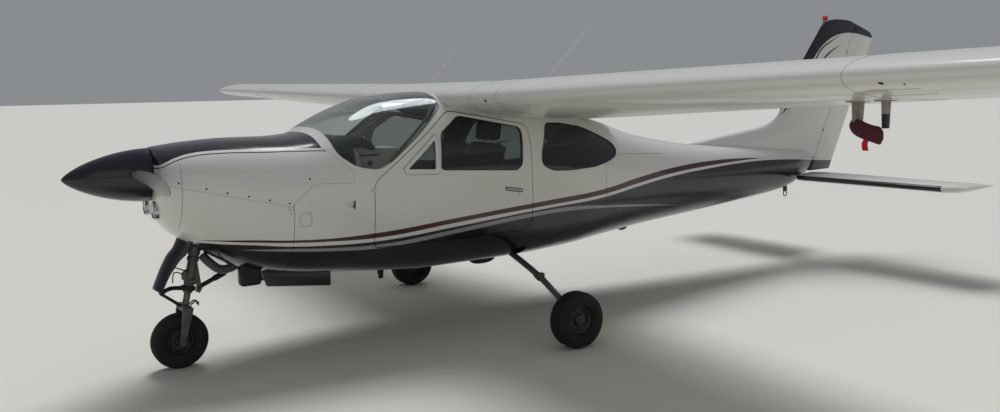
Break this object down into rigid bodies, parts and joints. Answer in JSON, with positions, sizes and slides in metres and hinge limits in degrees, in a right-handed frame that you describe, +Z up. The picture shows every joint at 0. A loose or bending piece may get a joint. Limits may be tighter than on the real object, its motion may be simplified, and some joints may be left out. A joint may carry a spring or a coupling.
{
  "type": "light aircraft",
  "caption": "High-wing, four-seat light aircraft with a nose propeller, cabin doors, moving tail and wing surfaces, and lowered retracting gear.",
  "frame": {"origin": "on the floor under the middle of the bounding box", "axes": "-Y is the nose, +X the left wing and +Z up"},
  "size_m": [10.82, 8.275, 2.472],
  "materials": {
    "white_paint": "warm off-white paint over aluminium skin",
    "cowl_paint": "warm off-white paint over glass fibre",
    "navy_paint": "navy paint over aluminium skin",
    "clear_acrylic": "clear acrylic pane",
    "grey_steel": "grey painted steel",
    "bare_aluminium": "bare aluminium",
    "tyre_rubber": "black tyre rubber",
    "blade_paint": "worn dark grey paint over aluminium blade",
    "seat_leather": "dark navy leather",
    "trim_plastic": "grey beige trim",
    "dark_plastic": "dark grey plastic",
    "engine_casting": "grey engine casting"
  },
  "bodies": {
    "airframe": {"wing_left": "white_paint", "wing_right": "white_paint", "wing_centre": "white_paint", "cowl_upper": "cowl_paint", "cowl_lower": "cowl_paint", "belly": "navy_paint", "side_left": "white_paint", "rear_glass_left": "clear_acrylic", "side_right": "white_paint", "rear_glass_right": "clear_acrylic", "windshield": "clear_acrylic", "firewall": "bare_aluminium", "floor": "trim_plastic", "engine": "engine_casting", "tailcone": "navy_paint", "fin": "white_paint", "axle_left": "grey_steel", "main_leg_left": "grey_steel", "axle_right": "grey_steel", "main_leg_right": "grey_steel", "nose_strut": "grey_steel", "drag_brace": "grey_steel", "nose_door": "navy_paint", "well_door_left": "navy_paint", "well_door_right": "navy_paint", "exhaust_outlet": "dark_plastic", "belly_mast": "grey_steel", "aerial_left": "dark_plastic", "aerial_right": "dark_plastic", "pitot_mast": "white_paint", "vent_mast": "white_paint", "instrument_panel": "trim_plastic", "seat_left": "seat_leather", "seat_right": "seat_leather", "rear_seat": "seat_leather"},
    "propeller": {"spinner": "navy_paint", "blade_left": "blade_paint", "blade_right": "blade_paint"},
    "nose_fork": {"nose_fork": "grey_steel", "torque_link": "grey_steel"},
    "nose_wheel": {"nose_tyre": "tyre_rubber", "nose_rim": "bare_aluminium"},
    "main_wheel_left": {"main_left_tyre": "tyre_rubber", "main_left_rim": "bare_aluminium"},
    "main_wheel_right": {"main_right_tyre": "tyre_rubber", "main_right_rim": "bare_aluminium"},
    "door_left": {"door_left": "white_paint", "door_glass_left": "clear_acrylic"},
    "door_right": {"door_right": "white_paint", "door_glass_right": "clear_acrylic"},
    "flap_left": {"flap_left": "white_paint"},
    "flap_right": {"flap_right": "white_paint"},
    "aileron_left": {"aileron_left": "white_paint"},
    "aileron_right": {"aileron_right": "white_paint"},
    "rudder": {"rudder": "white_paint"},
    "stabilator": {"stabilator": "white_paint"}
  },
  "joints": [
    {"name": "propeller_spin", "type": "hinge", "parent": "airframe", "child": "propeller", "pos_m": [0, -3.7175, 1.29], "axis": [0, 1, 0], "continuous": true},
    {"name": "nose_steering", "type": "hinge", "parent": "airframe", "child": "nose_fork", "pos_m": [0, -3.4825, 0.1805], "axis": [0, 0.1959, 0.9806], "range_deg": [-30, 30]},
    {"name": "nose_wheel_spin", "type": "hinge", "parent": "nose_fork", "child": "nose_wheel", "pos_m": [0, -3.4825, 0.1805], "axis": [1, 0, 0], "continuous": true},
    {"name": "main_wheel_left_spin", "type": "hinge", "parent": "airframe", "child": "main_wheel_left", "pos_m": [1.232, -1.1255, 0.193], "axis": [1, 0, 0], "continuous": true},
    {"name": "main_wheel_right_spin", "type": "hinge", "parent": "airframe", "child": "main_wheel_right", "pos_m": [-1.232, -1.1255, 0.193], "axis": [1, 0, 0], "continuous": true},
    {"name": "door_left_swing", "type": "hinge", "parent": "airframe", "child": "door_left", "pos_m": [0.606, -2.3245, 0.95], "axis": [0, 0, -1], "range_deg": [0, 75]},
    {"name": "door_right_swing", "type": "hinge", "parent": "airframe", "child": "door_right", "pos_m": [-0.606, -2.3245, 0.95], "axis": [0, 0, 1], "range_deg": [0, 75]},
    {"name": "flap_left_hinge", "type": "hinge", "parent": "airframe", "child": "flap_left", "pos_m": [1.85, -0.51778, 1.67387], "axis": [-0.9971, 0.0636, -0.0419], "range_deg": [0, 30]},
    {"name": "flap_right_hinge", "type": "hinge", "parent": "airframe", "child": "flap_right", "pos_m": [-1.85, -0.51778, 1.67387], "axis": [-0.9971, -0.0636, 0.0419], "range_deg": [0, 30]},
    {"name": "aileron_left_hinge", "type": "hinge", "parent": "airframe", "child": "aileron_left", "pos_m": [3.997, -0.65512, 1.76124], "axis": [-0.9972, 0.064, -0.0391], "range_deg": [-20, 15]},
    {"name": "aileron_right_hinge", "type": "hinge", "parent": "airframe", "child": "aileron_right", "pos_m": [-3.997, -0.65512, 1.76124], "axis": [-0.9972, -0.064, 0.0391], "range_deg": [-20, 15]},
    {"name": "rudder_hinge", "type": "hinge", "parent": "airframe", "child": "rudder", "pos_m": [0, 3.3925, 1.61], "axis": [0, 0.4472, 0.8944], "range_deg": [-24, 24]},
    {"name": "stabilator_pivot", "type": "hinge", "parent": "airframe", "child": "stabilator", "pos_m": [0, 2.7875, 0.82], "axis": [1, 0, 0], "range_deg": [-10, 20]}
  ]
}
